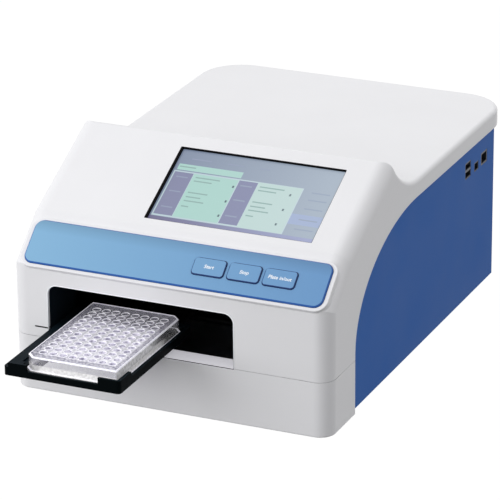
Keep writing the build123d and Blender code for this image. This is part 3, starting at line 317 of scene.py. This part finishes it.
def strip_material(name, bevel_shade_color):
    """Blue strip: painted shade in a deeper blue on its bevel, paler at the left, and painted shade towards
    its upper edge.
    """
    look = Look(name, srgb(112, 172, 218), 0.35, Specular_IOR_Level=0.35)
    flat = look.vary_color(look.ranged(look.axis("X"), strip_x), srgb(130, 177, 212), srgb(104, 150, 198))
    upper_end = strip_origin.dot(strip_up) + strip_length
    shaded = look.add("ShaderNodeVectorMath", operation="SCALE")
    look.link(flat, shaded.inputs[0])
    upper_edge = (upper_end - strip_shade_length, upper_end)
    look.link(look.ranged(look.along(look.place, strip_up), upper_edge, (1.0, 0.76)), shaded.inputs["Scale"])
    # Faces that don't face straight out of the strip take the painted shade colour.
    normal = look.add("ShaderNodeNewGeometry").outputs["True Normal"]
    mix = look.add("ShaderNodeMix", data_type="RGBA")
    mix.inputs["A"].default_value = (*bevel_shade_color, 1)
    look.link(look.ranged(look.along(normal, strip_out), (0.9, 0.98)), mix.inputs["Factor"])
    look.link(shaded.outputs["Vector"], mix.inputs["B"])
    look.link(mix.outputs["Result"], look.shader.inputs["Base Color"])
    look.bump(look.noise(1500, 2), 0.00001)
    return look.material


def clear_material(name, color, alpha, roughness):
    """Clear moulding that shows what lies behind it."""
    look = Look(name, color, roughness, IOR=1.55, Coat_Weight=0.4)
    opacity = look.ranged(look.noise(60, 2), target=(alpha * 0.85, alpha * 1.15))
    look.link(opacity, look.shader.inputs["Alpha"])
    look.vary_roughness(look.noise(200, 2), roughness * 0.8, roughness * 1.2)
    return look.material


def plate_material(name, dark, light, opacity, fade, glow):
    """Clear plate: cloudy and with painted sparkle near the front, clearer at the back and left, where the
    tray shows. Its colour runs by noise between dark and light as painted glints and dark reflections, and
    its glow is painted light.

    opacity is that of the near and the far end, and fade the stretch of the plate where it changes.
    """
    look = Look(name, light, 0.15, Coat_Weight=0.3)
    clear = look.add("ShaderNodeMath", operation="MAXIMUM")
    fades = (
        ("Y", plate_low.y, plate_high.y - plate_low.y, fade, 1.0),
        ("X", plate_low.x, plate_high.x - plate_low.x, plate_left_fade, plate_left_clearness),
    )
    for socket, (axis, low, size, (start, end), most) in enumerate(fades):
        stretch = (low + start * size, low + end * size)
        share = look.ranged(look.axis(axis), stretch, (0, most), interpolation_type="SMOOTHSTEP")
        look.link(share, clear.inputs[socket])
    look.link(look.ranged(clear.outputs["Value"], target=opacity), look.shader.inputs["Alpha"])
    color = look.vary_color(look.ranged(look.noise(420, 2), (0.36, 0.62)), dark, light)
    look.link(color, look.shader.inputs["Emission Color"])
    look.shader.inputs["Emission Strength"].default_value = glow
    look.vary_roughness(look.noise(90, 2), 0.12, 0.21)
    return look.material


def tray_material():
    """Satin black, with a painted bluish sheen on what faces up."""
    look = Look("tray_black", srgb(5, 9, 11), 0.42, Specular_IOR_Level=0.02)
    normal = look.add("ShaderNodeNewGeometry").outputs["Normal"]
    # Painted sheen: faces that point up are lighter and bluer.
    look.vary_color(look.ranged(look.axis("Z", normal), (0.2, 0.8)), srgb(2, 6, 8), srgb(17, 27, 33))
    look.vary_roughness(look.noise(30, 2), 0.38, 0.48)
    look.bump(look.noise(1300, 2), 0.00003)
    return look.material


tray_black = tray_material()
# The second colour is the painted shade on the strip's bevel and on the sides of the keys.
strip_blue = strip_material("strip_blue", srgb(36, 92, 170))
key_blue = strip_material("key_blue", srgb(20, 52, 108))
lilac_white = srgb(248, 247, 254)
lilac_grey = srgb(186, 183, 204)
plate_left_fade = (0.26, 0.1)
plate_left_clearness = 0.6
# Plate materials: dark and light colours of the painted sparkle, opacity at the near and the far end, fade,
# and painted glow; the strongest glow, on the edge and the well rings, is a painted highlight.
plate_skirt = plate_material(
    "plate_skirt", srgb(222, 221, 222), srgb(246, 245, 246), (0.97, 0.1), (0.6, 0.78), 0.14)
plate_wall_clear = plate_material("plate_wall_clear", lilac_grey, lilac_white, (0.2, 0.12), (0.5, 0.8), 0.08)
plate_edge = plate_material("plate_edge", srgb(226, 225, 236), lilac_white, (0.97, 0.9), (0.5, 0.9), 0.34)
plate_deck = plate_material(
    "plate_deck", srgb(200, 199, 210), srgb(246, 245, 250), (0.88, 0.03), (0.64, 0.78), 0.14)
plate_border = plate_material(
    "plate_border", srgb(150, 148, 168), srgb(236, 234, 244), (0.66, 0.3), (0.55, 0.8), 0.09)
plate_ring = plate_material("plate_ring", srgb(228, 227, 234), lilac_white, (0.97, 0.85), (0.6, 0.9), 0.32)
plate_tube = plate_material(
    "plate_tube", srgb(164, 161, 182), srgb(246, 243, 254), (0.9, 0.14), (0.62, 0.8), 0.12)
plate_well_floor = plate_material(
    "plate_well_floor", srgb(196, 193, 210), lilac_white, (0.95, 0.2), (0.64, 0.85), 0.26)
# plate_side: a paler, more opaque copy of the clear wall for its right side, painted light.
plate_side = plate_material(
    "plate_side", srgb(190, 190, 192), srgb(232, 232, 234), (0.9, 0.06), (0.52, 0.7), 0.1)
clear_lens = clear_material("clear_lens", srgb(214, 226, 232), 0.3, 0.05)
filter_glass = clear_material("filter_glass", srgb(150, 120, 190), 0.6, 0.05)

finishes = {
    white_shell: ("upper_shell", "lower_shell"),
    blue_paint: ("left_side_panel", "right_side_panel", "rear_panel"),
    zinc: ("base_plate", "power_supply"),
    rubber: ("rubber_feet",),
    sill_metal_painted_light: ("sill_plate",),
    hood_paint: ("chamber_hood", "read_head", "filter_wheel"),
    tray_black: ("plate_tray",),
    dark_anodised: ("left_frame", "right_frame", "cross_carriage", "tray_slider", "tray_rail"),
    strip_blue: ("strip_pad",),
    key_blue: ("start_key", "stop_key", "plate_key"),
    board_green: ("key_board", "main_board"),
    brass: ("board_standoffs",),
    port_steel: ("usb_stack", "device_port", "network_jack"),
    black_plastic: ("power_inlet", "switch_frame", "power_rocker", "fan_frame", "fan_rotor", "photodiode",
                    "touch_glass", "display_module"),
    aluminium: ("belt_clamp", "drive_pulley", "idler_pulley", "optics_bridge", "lamp_house", "detector_arm"),
    ground_steel: ("plate_spring", "case_screws"),
    black_steel: ("cross_rods", "cross_screw"),
    motor_black: ("cross_motor", "tray_motor", "wheel_motor"),
    belt_black: ("drive_belt",),
    plate_edge: ("microplate",),
    clear_lens: ("read_lens", "halogen_lamp", "condenser_lens"),
    filter_glass: ("filter_discs",),
}
for material, names in finishes.items():
    for name in names:
        nodes[name].data.materials.clear()
        nodes[name].data.materials.append(material)


# Meshes


def piece(name, mesh_maker, body, materials, smooth=False):
    """A mesh object made by a bmesh function, riding on a body."""
    mesh = bpy.data.meshes.new(name)
    shape = bmesh.new()
    mesh_maker(shape)
    bmesh.ops.recalc_face_normals(shape, faces=shape.faces)
    shape.to_mesh(mesh)
    shape.free()
    made = bpy.data.objects.new(name, mesh)
    bpy.context.scene.collection.objects.link(made)
    for material in materials:
        mesh.materials.append(material)
    if smooth:
        mesh.polygons.foreach_set("use_smooth", [True] * len(mesh.polygons))
    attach(made, body)
    return made


def slab(shape, place, x, s, n, material=0):
    """A flat box over a plane; place turns x, the way up the plane and the way out of it into a point."""
    corners = [shape.verts.new(place(a, b, c)) for c in n for a, b in
               ((x[0], s[0]), (x[1], s[0]), (x[1], s[1]), (x[0], s[1]))]
    loops = [(0, 3, 2, 1), (4, 5, 6, 7)] + [(i, (i + 1) % 4, (i + 1) % 4 + 4, i + 4) for i in range(4)]
    for loop in loops:
        shape.faces.new([corners[i] for i in loop]).material_index = material


def ring_of(shape, outline, z):
    """Vertices of a flat outline at a height."""
    return [shape.verts.new((x, y, z)) for x, y in outline]


def band(shape, lower, upper, material=0):
    """Faces between two rings of as many vertices."""
    count = len(lower)
    for i in range(count):
        j = (i + 1) % count
        shape.faces.new((lower[i], lower[j], upper[j], upper[i])).material_index = material


# Microplate


def plate_outline(inset):
    """The plate's outline, with its far right and near left corners cut."""
    left, right = plate_low.x + inset, plate_high.x - inset
    front, back = plate_low.y + inset, plate_high.y - inset
    return [
        (left + plate_notch, front), (right, front), (right, back - plate_notch),
        (right - plate_notch, back), (left, back), (left, front + plate_notch),
    ]


def well_places():
    for row in range(well_rows):
        for column in range(well_columns):
            yield (
                plate_middle.x + (row - (well_rows - 1) / 2) * well_pitch,
                plate_middle.y + (column - (well_columns - 1) / 2) * well_pitch,
            )


def circle(centre, radius):
    turn = 2 * pi / well_segments
    return [
        (centre[0] + radius * cos((i + 0.5) * turn), centre[1] + radius * sin((i + 0.5) * turn))
        for i in range(well_segments)
    ]


def make_plate_body(shape):
    """Skirt, clear wall and top edge with a painted highlight, each as thick as the real wall; the clear
    wall's right side takes a paler copy of its material, which is painted light.

    A step holds its inset, its height and the material of the band from it to the next.
    """
    low, high = plate_low.z, plate_high.z
    right_wall = plate_high.x - flange_step - skirt_wall / 2
    steps = [
        (0, low, 0), (0, low + flange_height, 2), (flange_step, low + flange_height, 0),
        (flange_step, low + well_floor, 1), (flange_step, high - deck_drop, 2),
        (flange_step + edge_bevel, high, 2),
        (flange_step + skirt_wall, high, 1), (flange_step + skirt_wall, low + well_floor, 0),
        (flange_step + skirt_wall, low, 0),
    ]
    rings = [ring_of(shape, plate_outline(inset), z) for inset, z, _ in steps]
    for number, (_, _, material) in enumerate(steps):
        band(shape, rings[number], rings[(number + 1) % len(rings)], material)
    # The right side of the clear wall takes plate_side, its paler copy: painted light.
    for face in shape.faces:
        if face.material_index == 1 and face.calc_center_median().x > right_wall:
            face.material_index = 3


def make_plate_deck(shape):
    """The deck between the wells, up to the wall."""
    z = plate_high.z - deck_drop
    half = well_pitch / 2
    for place in well_places():
        rim = circle(place, well_radius + well_wall)
        square = []
        for x, y in rim:
            reach = half / max(abs(x - place[0]), abs(y - place[1]))
            square.append((place[0] + (x - place[0]) * reach, place[1] + (y - place[1]) * reach))
        band(shape, ring_of(shape, rim, z), ring_of(shape, square, z))
    inset = flange_step + skirt_wall
    grid_x = plate_middle.x - well_rows * half, plate_middle.x + well_rows * half
    grid_y = plate_middle.y - well_columns * half, plate_middle.y + well_columns * half
    corners = [(grid_x[0], grid_y[0]), (grid_x[1], grid_y[0]), (grid_x[1], grid_y[1]), (grid_x[1], grid_y[1]),
               (grid_x[0], grid_y[1]), (grid_x[0], grid_y[0])]
    band(shape, ring_of(shape, corners, z), ring_of(shape, plate_outline(inset), z), 1)
    bmesh.ops.remove_doubles(shape, verts=shape.verts, dist=0.00001)
    bmesh.ops.solidify(shape, geom=shape.faces[:], thickness=deck_thickness)


def make_wells(shape):
    """Well tubes: raised rim, inner wall, floor and rounded underside."""
    top = plate_high.z - rim_drop
    bottom = plate_low.z + well_floor
    floor = bottom + 1.2 * mm
    outer = well_radius + well_wall
    for place in well_places():
        profile = [
            (0.4 * outer, bottom, 1), (0.85 * outer, bottom + 0.5 * mm, 1), (outer, bottom + 1.6 * mm, 1),
            (outer, top - rim_bevel, 0), (outer - rim_bevel, top, 0), (well_radius, top, 0),
            (well_radius - 0.15 * mm, top - 0.5 * mm, 1), (well_radius - 0.3 * mm, floor + 0.6 * mm, 2),
            (0.6 * well_radius, floor, 2),
        ]
        rings = [ring_of(shape, circle(place, radius), z) for radius, z, _ in profile]
        for number in range(len(rings) - 1):
            band(shape, rings[number], rings[number + 1], profile[number][2])
        shape.faces.new(rings[0]).material_index = 1
        shape.faces.new(rings[-1]).material_index = 2


plate_body = piece("plate_body", make_plate_body, "tray",
                   [plate_skirt, plate_wall_clear, plate_edge, plate_side])
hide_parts("microplate")
piece("plate_deck", make_plate_deck, "tray", [plate_deck, plate_border])
piece("plate_wells", make_wells, "tray",
      [plate_ring, plate_tube, plate_well_floor], smooth=True)


# Tray screw


def make_tray_screw(shape):
    """A pan head with a socket: radius and height of each ring over its seat, in millimetres."""
    profile = [(1.5, -0.4), (1.5, 0.25), (1.1, 0.55), (0.55, 0.62), (0.5, 0.2)]
    rings = [ring_of(shape, circle(screw_place, radius * mm), screw_seat + z * mm) for radius, z in profile]
    for lower, upper in zip(rings, rings[1:]):
        band(shape, lower, upper)
    shape.faces.new(rings[0])
    shape.faces.new(rings[-1])


piece("tray_screw", make_tray_screw, "tray", [ground_steel])


# Display: dark frame round the aperture, partly gasket and partly painted shade, and a plain generic picture


def on_panel(x, s, n):
    return on_slope(panel_origin, panel_slope, x, s, n)


def make_gasket_and_shade(shape):
    """A black frame against the wall of the aperture, partly gasket and partly painted shade of that wall,
    wider where the view looks under its edge.
    """
    depth = (-screen_recess, -0.15 * mm)
    (left, right), (low, high) = screen_x, screen_s
    between = (left + gasket_and_shade_wide, right - gasket_narrow)
    slab(shape, on_panel, (left, left + gasket_and_shade_wide), (low, high), depth)
    slab(shape, on_panel, (right - gasket_narrow, right), (low, high), depth)
    slab(shape, on_panel, between, (high - gasket_and_shade_wide / 2, high), depth)
    slab(shape, on_panel, between, (low, low + gasket_narrow), depth)


piece("screen_gasket_and_shade", make_gasket_and_shade, "casing", [gasket_and_painted_shade])

# Name, colour at the left and at the right of the screen, and strength of its own light
picture_colors = [
    ("screen_grey", (132, 146, 172), (178, 192, 208), 0.5),
    ("screen_mint", (170, 212, 204), (180, 216, 210), 0.57),
    ("screen_pale_mint", (188, 218, 212), (200, 221, 221), 0.56),
    ("screen_violet", (136, 140, 174), (150, 156, 192), 0.46),
    ("screen_pale", (186, 208, 216), (204, 222, 228), 0.56),
    ("screen_blue", (160, 176, 214), (172, 188, 220), 0.52),
    ("screen_dusk", (112, 108, 146), (176, 184, 222), 0.46),
    ("screen_ink", (148, 182, 178), (162, 192, 190), 0.48),
    ("screen_faint", (150, 160, 188), (166, 180, 202), 0.48),
    ("screen_dark", (72, 92, 106), (128, 150, 156), 0.4),
]
(grey, mint, pale_mint, violet, pale, blue, dusk, ink, faint, dark) = range(len(picture_colors))
# Tiles of the picture: share across from the left, share down from the top, colour and layer
tiles = [
    ((0, 1), (0, 1), grey, 0),
    ((0.806, 1), (0.64, 0.78), blue, 1),
    ((0, 1), (0.935, 1), dusk, 1),
    ((0.021, 0.417), (0.2, 0.282), mint, 1),
    ((0.01, 0.806), (0.296, 0.93), pale, 1),
    ((0.018, 0.133), (0.313, 0.908), violet, 2),
    ((0.137, 0.411), (0.313, 0.912), mint, 2),
    ((0.417, 0.53), (0.311, 0.909), violet, 2),
    ((0.533, 0.8), (0.3, 0.925), pale_mint, 2),
    ((0.03, 0.13), (0.228, 0.244), ink, 2),
]
line_height = 0.016
# Lines in place of text, marks beside them, and lines in the violet columns, at the right and on top
for column in (0.155, 0.55):
    for top, length in ((0.35, 0.15), (0.4, 0.11), (0.56, 0.12), (0.62, 0.09), (0.675, 0.12), (0.75, 0.045)):
        tiles.append(((column, column + length), (top, top + line_height), ink, 3))
for column in (0.392, 0.74):
    for top in (0.395, 0.6, 0.8):
        tiles.append(((column, column + 0.011), (top, top + 0.03), dark, 3))
for column in (0.04, 0.435):
    for top in (0.37, 0.57, 0.79):
        tiles.append(((column, column + 0.07), (top, top + line_height), faint, 3))
for top in (0.33, 0.43, 0.55, 0.7, 0.83):
    tiles.append(((0.86, 0.97), (top, top + line_height), faint, 3))
for across in ((0.08, 0.2), (0.3, 0.4), (0.5, 0.56)):
    tiles.append((across, (0.11, 0.11 + line_height), faint, 3))


def make_picture(shape):
    """The tiles inside the gasket, each a thin layer over the one that it lies on."""
    layer = 0.02 * mm
    left, right = screen_x[0] + gasket_and_shade_wide, screen_x[1] - gasket_narrow
    low, high = screen_s[0] + gasket_narrow, screen_s[1] - gasket_and_shade_wide / 2
    for across, down, color, level in tiles:
        x = tuple(left + share * (right - left) for share in across)
        s = tuple(high - share * (high - low) for share in reversed(down))
        bottom = -screen_recess + level * layer
        slab(shape, on_panel, x, s, (bottom, bottom + layer), color)


piece("screen_picture", make_picture, "casing",
      [lit(name, srgb(*left), srgb(*right), strength) for name, left, right, strength in picture_colors])


# Edges of the front: rim round the strip and lip of the opening, both with a painted highlight, and painted
# shade in the gaps


def hull(points):
    """Corners of the outline round flat points, in order."""
    points = sorted(set(points))

    def half_hull(run):
        chain = []
        for point in run:
            while len(chain) > 1 and (
                (chain[-1][0] - chain[-2][0]) * (point[1] - chain[-2][1])
                - (chain[-1][1] - chain[-2][1]) * (point[0] - chain[-2][0])
            ) <= 0:
                chain.pop()
            chain.append(point)
        return chain[:-1]

    return half_hull(points) + half_hull(points[::-1])


def widened(outline, reach):
    """An outline moved outwards from its own edge by a distance."""
    moved = []
    for i, here in enumerate(outline):
        before, after = outline[i - 1], outline[(i + 1) % len(outline)]
        normal = Vector((0, 0))
        for start, end in ((before, here), (here, after)):
            edge = (Vector(end) - Vector(start)).normalized()
            normal += Vector((edge.y, -edge.x))
        moved.append(tuple(Vector(here) + normal.normalized() * reach))
    return moved


def strip_outline():
    """The outline of the strip, in its own sloping plane."""
    flat = []
    for vertex in nodes["strip_pad"].data.vertices:
        point = nodes["strip_pad"].matrix_world @ vertex.co - strip_origin
        flat.append((round(point.x, 5), round(point.dot(strip_up), 5)))
    return hull(flat)


def make_strip_rim(shape):
    """Bead on the edge of the strip's recess; its profile is out from the strip and up, in millimetres."""
    outline = strip_outline()
    profile = [(0.25, -0.3), (0.35, 0.12), (0.7, 0.2), (1.1, 0.12), (1.25, -0.3)]
    rings = []
    for reach, n in profile:
        rings.append([
            shape.verts.new(on_slope(strip_origin, strip_slope, x, s, n * mm))
            for x, s in widened(outline, reach * mm)
        ])
    for lower, upper in zip(rings, rings[1:] + rings[:1]):
        band(shape, lower, upper)


piece("strip_rim", make_strip_rim, "casing", [white_rim_painted_highlight], smooth=True)


def make_opening_lip(shape):
    """Bead round the sides and top of the opening; its profile is outwards and back, in millimetres."""
    left, right = opening_x
    low, high = opening_z
    path = [(left, low)]
    for middle, start in (((left + opening_radius, high - opening_radius), pi),
                          ((right - opening_radius, high - opening_radius), pi / 2)):
        for step in range(corner_steps + 1):
            turn = start - step * pi / 2 / corner_steps
            path.append((middle[0] + opening_radius * cos(turn), middle[1] + opening_radius * sin(turn)))
    path.append((right, low))
    profile = [(-0.2, 0.1), (0.1, -0.22), (0.55, -0.22), (0.8, 0.1)]
    rings = []
    for i, here in enumerate(path):
        before, after = path[max(i - 1, 0)], path[min(i + 1, len(path) - 1)]
        along = (Vector(after) - Vector(before)).normalized()
        out = Vector((-along.y, along.x))
        rings.append([
            shape.verts.new((here[0] + out.x * reach * mm, front_face + y * mm, here[1] + out.y * reach * mm))
            for reach, y in profile
        ])
    for lower, upper in zip(rings, rings[1:]):
        band(shape, lower, upper)
    shape.faces.new(rings[0])
    shape.faces.new(rings[-1])


def on_front(x, z, out):
    """A point on the vertical front face, out in front of it."""
    return Vector((x, front_face - out, z))


def make_painted_gap_shade(shape):
    """Painted shade: dark strips in the gap under the sill's front edge, at its right end, and in the parting
    slot left of the opening.
    """
    left, right = opening_x
    low = opening_z[0]
    under, over = (low + rise for rise in sill_gap_rise)
    depth = (-0.3 * mm, 0.06 * mm)
    slab(shape, on_front, (left, right), (under, over), depth)
    slab(shape, on_front, (right - sill_end_width, right), (over, low + sill_end_rise), depth)
    slot_z = tuple(low + rise for rise in slot_rise)
    slab(shape, on_front, (left - slot_length, left - sill_gap), slot_z, depth)


piece("opening_lip", make_opening_lip, "casing", [white_rim_painted_highlight], smooth=True)
piece("painted_gap_shade", make_painted_gap_shade, "casing", [gasket_and_painted_shade])


# Words on the keys


def write_word(body, word):
    curve = bpy.data.curves.new(body + "_word", "FONT")
    curve.body = word
    curve.align_x = "CENTER"
    curve.align_y = "CENTER"
    curve.size = word_size
    curve.offset = word_weight
    curve.extrude = word_thickness
    curve.shear = word_slant
    written = bpy.data.objects.new(body + "_word", curve)
    bpy.context.scene.collection.objects.link(written)
    place = on_slope(strip_origin, strip_slope, middle_of(body).x, key_s, key_top + word_thickness)
    written.matrix_world = Matrix.Translation(place) @ Matrix.Rotation(strip_slope, 4, "X")
    curve.materials.append(print_white)
    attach(written, body)


for body, word in key_words:
    write_word(body, word)


# Floor, light and camera


def sees_background(tree):
    """1 for the rays that show the white background: from the camera, off gloss and through glass."""
    path = tree.nodes.new("ShaderNodeLightPath")
    seen = path.outputs["Is Camera Ray"]
    for ray in ("Is Glossy Ray", "Is Transmission Ray"):
        either = tree.nodes.new("ShaderNodeMath")
        either.operation = "MAXIMUM"
        tree.links.new(seen, either.inputs[0])
        tree.links.new(path.outputs[ray], either.inputs[1])
        seen = either.outputs["Value"]
    return seen


def make_floor():
    mesh = bpy.data.meshes.new("floor")
    corners = [(x * floor_reach, y * floor_reach, 0) for x, y in ((-1, -1), (1, -1), (1, 1), (-1, 1))]
    mesh.from_pydata(corners, [], [(0, 1, 2, 3)])
    floor = bpy.data.objects.new("floor", mesh)
    bpy.context.scene.collection.objects.link(floor)
    material = bpy.data.materials.new("floor_white")
    material.use_nodes = True
    tree = material.node_tree
    tree.nodes.clear()
    diffuse = tree.nodes.new("ShaderNodeBsdfDiffuse")
    diffuse.inputs["Color"].default_value = (*floor_color, 1)
    glow = tree.nodes.new("ShaderNodeEmission")
    glow.inputs["Strength"].default_value = floor_glow
    share = tree.nodes.new("ShaderNodeMath")
    share.operation = "MULTIPLY"
    share.inputs[1].default_value = floor_glow_share
    tree.links.new(sees_background(tree), share.inputs[0])
    mix = tree.nodes.new("ShaderNodeMixShader")
    tree.links.new(share.outputs["Value"], mix.inputs["Fac"])
    tree.links.new(diffuse.outputs["BSDF"], mix.inputs[1])
    tree.links.new(glow.outputs["Emission"], mix.inputs[2])
    output = tree.nodes.new("ShaderNodeOutputMaterial")
    tree.links.new(mix.outputs["Shader"], output.inputs["Surface"])
    mesh.materials.append(material)


def make_world():
    world = bpy.data.worlds.new("studio")
    bpy.context.scene.world = world
    world.use_nodes = True
    tree = world.node_tree
    background = tree.nodes["Background"]
    strength = tree.nodes.new("ShaderNodeMapRange")
    strength.inputs["To Min"].default_value = room_strength
    tree.links.new(sees_background(tree), strength.inputs["Value"])
    tree.links.new(strength.outputs["Result"], background.inputs["Strength"])
    background.inputs["Color"].default_value = (1, 1, 1, 1)


def add_light(name, place, aim, size, power):
    lamp = bpy.data.lights.new(name, "AREA")
    lamp.shape = "RECTANGLE"
    lamp.size, lamp.size_y = size
    lamp.energy = power
    made = bpy.data.objects.new(name, lamp)
    bpy.context.scene.collection.objects.link(made)
    made.location = place
    made.rotation_euler = (Vector(aim) - Vector(place)).to_track_quat("-Z", "Y").to_euler()


def make_camera():
    camera = bpy.data.objects.new("camera", bpy.data.cameras.new("camera"))
    bpy.context.scene.collection.objects.link(camera)
    camera.data.lens = view_lens
    camera.data.clip_end = 50
    back = Vector((
        sin(view_azimuth) * cos(view_elevation),
        -cos(view_azimuth) * cos(view_elevation),
        sin(view_elevation),
    ))
    camera.matrix_world = (
        Matrix.Translation(view_aim + back * view_distance)
        @ Matrix.Rotation(view_azimuth, 4, "Z")
        @ Matrix.Rotation(pi / 2 - view_elevation, 4, "X")
        @ Matrix.Rotation(-view_roll, 4, "Z")
    )
    bpy.context.scene.camera = camera


make_floor()
make_world()
for lamp in lamps:
    add_light(*lamp)
make_camera()
bpy.context.scene.view_settings.view_transform = "Standard"
